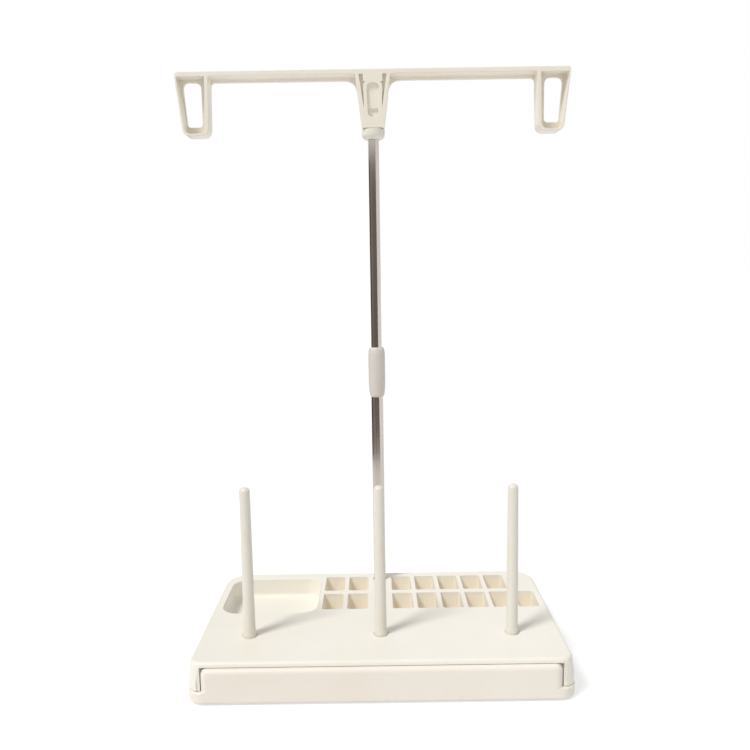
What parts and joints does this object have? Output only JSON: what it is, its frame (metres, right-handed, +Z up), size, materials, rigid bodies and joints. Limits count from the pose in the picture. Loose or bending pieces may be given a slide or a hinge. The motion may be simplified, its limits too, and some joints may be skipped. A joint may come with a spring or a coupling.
{
  "type": "thread spool stand",
  "caption": "Thread spool stand: moulded base with drawer, bobbin cells and notions tray, upright spool pins, and a telescoping mast with a thread guide bar.",
  "frame": {"origin": "centre of the stand's bounding box, on the floor under its rubber feet", "axes": "+X to the user's right, +Y away from the user, +Z up along the mast; the drawer's front faces -Y"},
  "size_m": [0.2504, 0.1288, 0.3607],
  "materials": {
    "housing_plastic": "satin moulded ivory",
    "drawer_plastic": "satin moulded ivory, a little warmer than the housing",
    "pin_plastic": "smooth moulded ivory",
    "tube_steel": "bright drawn steel tube",
    "plug_plastic": "plain moulded white",
    "coupler_plastic": "satin greyish white",
    "collar_plastic": "satin light grey",
    "bar_plastic": "satin moulded ivory",
    "ring_rubber": "plain black",
    "foot_rubber": "plain dark grey",
    "screw_steel": "zinc plated"
  },
  "bodies": {
    "base": {"base_housing": "housing_plastic", "bottom_cover": "housing_plastic", "cover_screw_one": "screw_steel", "cover_screw_two": "screw_steel", "cover_screw_three": "screw_steel", "cover_screw_four": "screw_steel", "cover_screw_five": "screw_steel", "rubber_foot_front_left": "foot_rubber", "rubber_foot_front_right": "foot_rubber", "rubber_foot_rear_left": "foot_rubber", "rubber_foot_rear_right": "foot_rubber"},
    "drawer": {"drawer": "drawer_plastic"},
    "pin_left": {"spool_pin_left": "pin_plastic"},
    "pin_centre": {"spool_pin_centre": "pin_plastic"},
    "pin_right": {"spool_pin_right": "pin_plastic"},
    "mast": {"mast_lower_tube": "tube_steel", "mast_foot_plug": "plug_plastic", "mast_coupler": "coupler_plastic", "coupler_friction_ring": "ring_rubber"},
    "mast_top": {"mast_upper_tube": "tube_steel", "upper_tube_slider": "plug_plastic", "mast_top_collar": "collar_plastic"},
    "guide_bar": {"thread_guide_bar": "bar_plastic"}
  },
  "joints": [
    {"name": "drawer_slide", "type": "slide", "parent": "base", "child": "drawer", "axis": [0, -1, 0], "range_m": [0, 0.044]},
    {"name": "pin_left_lift", "type": "slide", "parent": "base", "child": "pin_left", "axis": [0, 0, 1], "range_m": [0, 0.02]},
    {"name": "pin_centre_lift", "type": "slide", "parent": "base", "child": "pin_centre", "axis": [0, 0, 1], "range_m": [0, 0.02]},
    {"name": "pin_right_lift", "type": "slide", "parent": "base", "child": "pin_right", "axis": [0, 0, 1], "range_m": [0, 0.02]},
    {"name": "mast_lift", "type": "slide", "parent": "base", "child": "mast", "axis": [0, 0, 1], "range_m": [0, 0.03]},
    {"name": "mast_extension", "type": "slide", "parent": "mast", "child": "mast_top", "axis": [0, 0, 1], "range_m": [-0.13, 0]},
    {"name": "guide_bar_swivel", "type": "hinge", "parent": "mast_top", "child": "guide_bar", "pos_m": [0, 0.0525, 0.3347], "axis": [0, 0, 1], "continuous": true}
  ]
}
